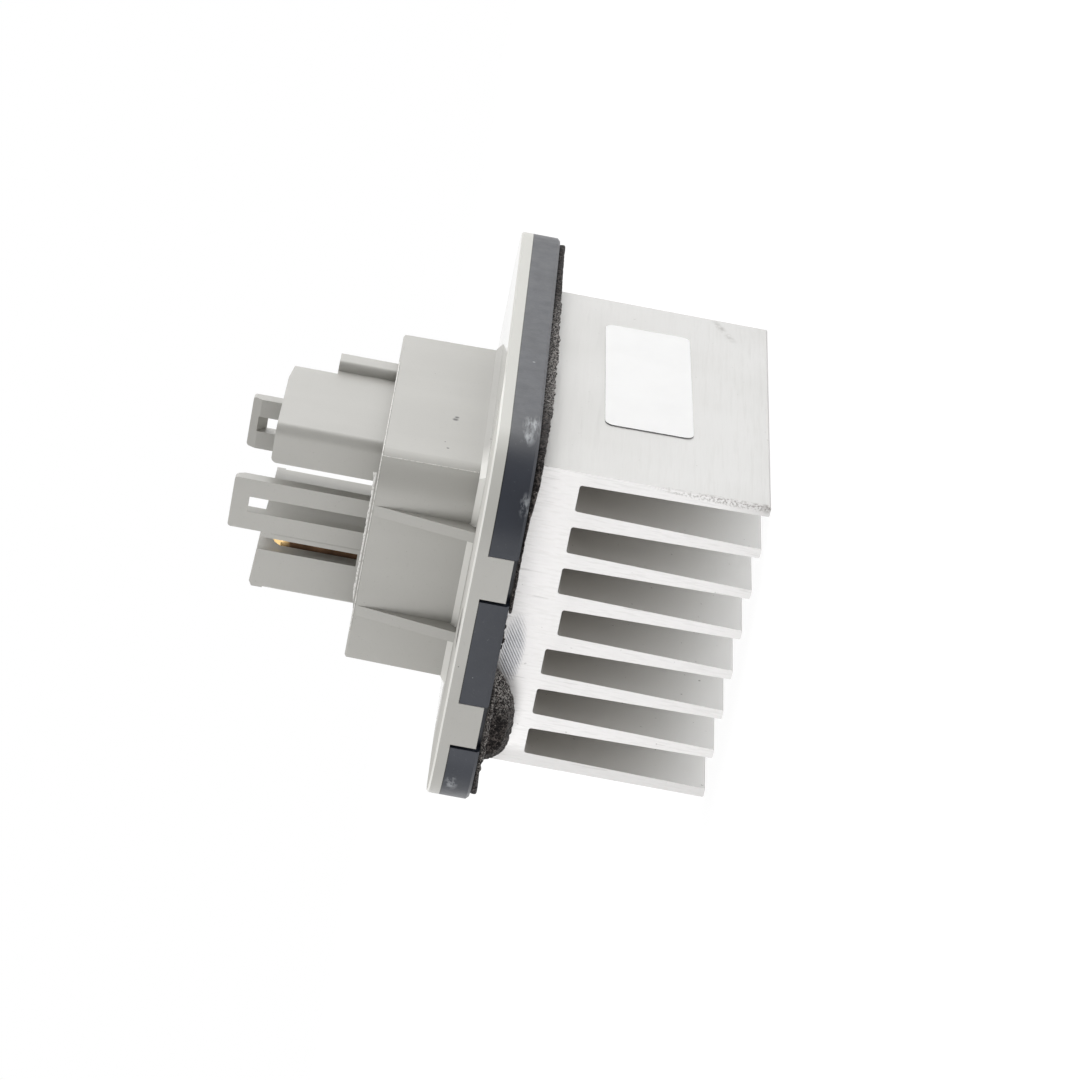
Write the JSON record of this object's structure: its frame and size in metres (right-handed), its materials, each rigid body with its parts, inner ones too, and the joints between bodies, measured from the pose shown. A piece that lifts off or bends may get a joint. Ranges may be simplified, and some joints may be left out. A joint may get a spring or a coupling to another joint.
{
  "type": "blower motor resistor",
  "caption": "Blower motor speed controller: a finned aluminium heat sink on a sealed flange, with a moulded housing that carries two plug sockets and latch loops.",
  "frame": {"origin": "on the plane of the fin tips, under the middle of the flange", "axes": "+Z from the fin tips towards the plug sockets, +Y along the fins and the flange, +X across the fins towards the face with the sticker"},
  "size_m": [0.0436, 0.0728, 0.0571],
  "materials": {
    "aluminium": "satin",
    "moulding": "satin",
    "frame_plastic": "satin",
    "foam": "matte",
    "sticker": "satin",
    "copper": "satin",
    "board": "satin",
    "steel": "satin",
    "black_epoxy": "matte",
    "pad": "matte",
    "ceramic": "satin"
  },
  "bodies": {
    "root": {"heat_sink": "aluminium", "blank_sticker": "sticker", "seal_frame": "frame_plastic", "foam_gasket": "foam", "housing": "moulding", "power_blade_near": "copper", "power_blade_far": "copper", "signal_pin_1": "copper", "signal_pin_2": "copper", "signal_pin_3": "copper", "signal_pin_4": "copper", "circuit_board": "board", "board_screws": "steel", "power_transistor": "black_epoxy", "insulating_pad": "pad", "spring_washer": "steel", "clamp_screw": "steel", "filter_capacitor": "aluminium", "control_chip": "black_epoxy", "freewheel_diode": "black_epoxy", "current_shunt": "steel", "chip_resistor_1": "black_epoxy", "chip_resistor_2": "black_epoxy", "chip_resistor_3": "black_epoxy", "chip_resistor_4": "black_epoxy", "chip_capacitor_1": "ceramic", "chip_capacitor_2": "ceramic", "chip_capacitor_3": "ceramic"}
  },
  "joints": []
}
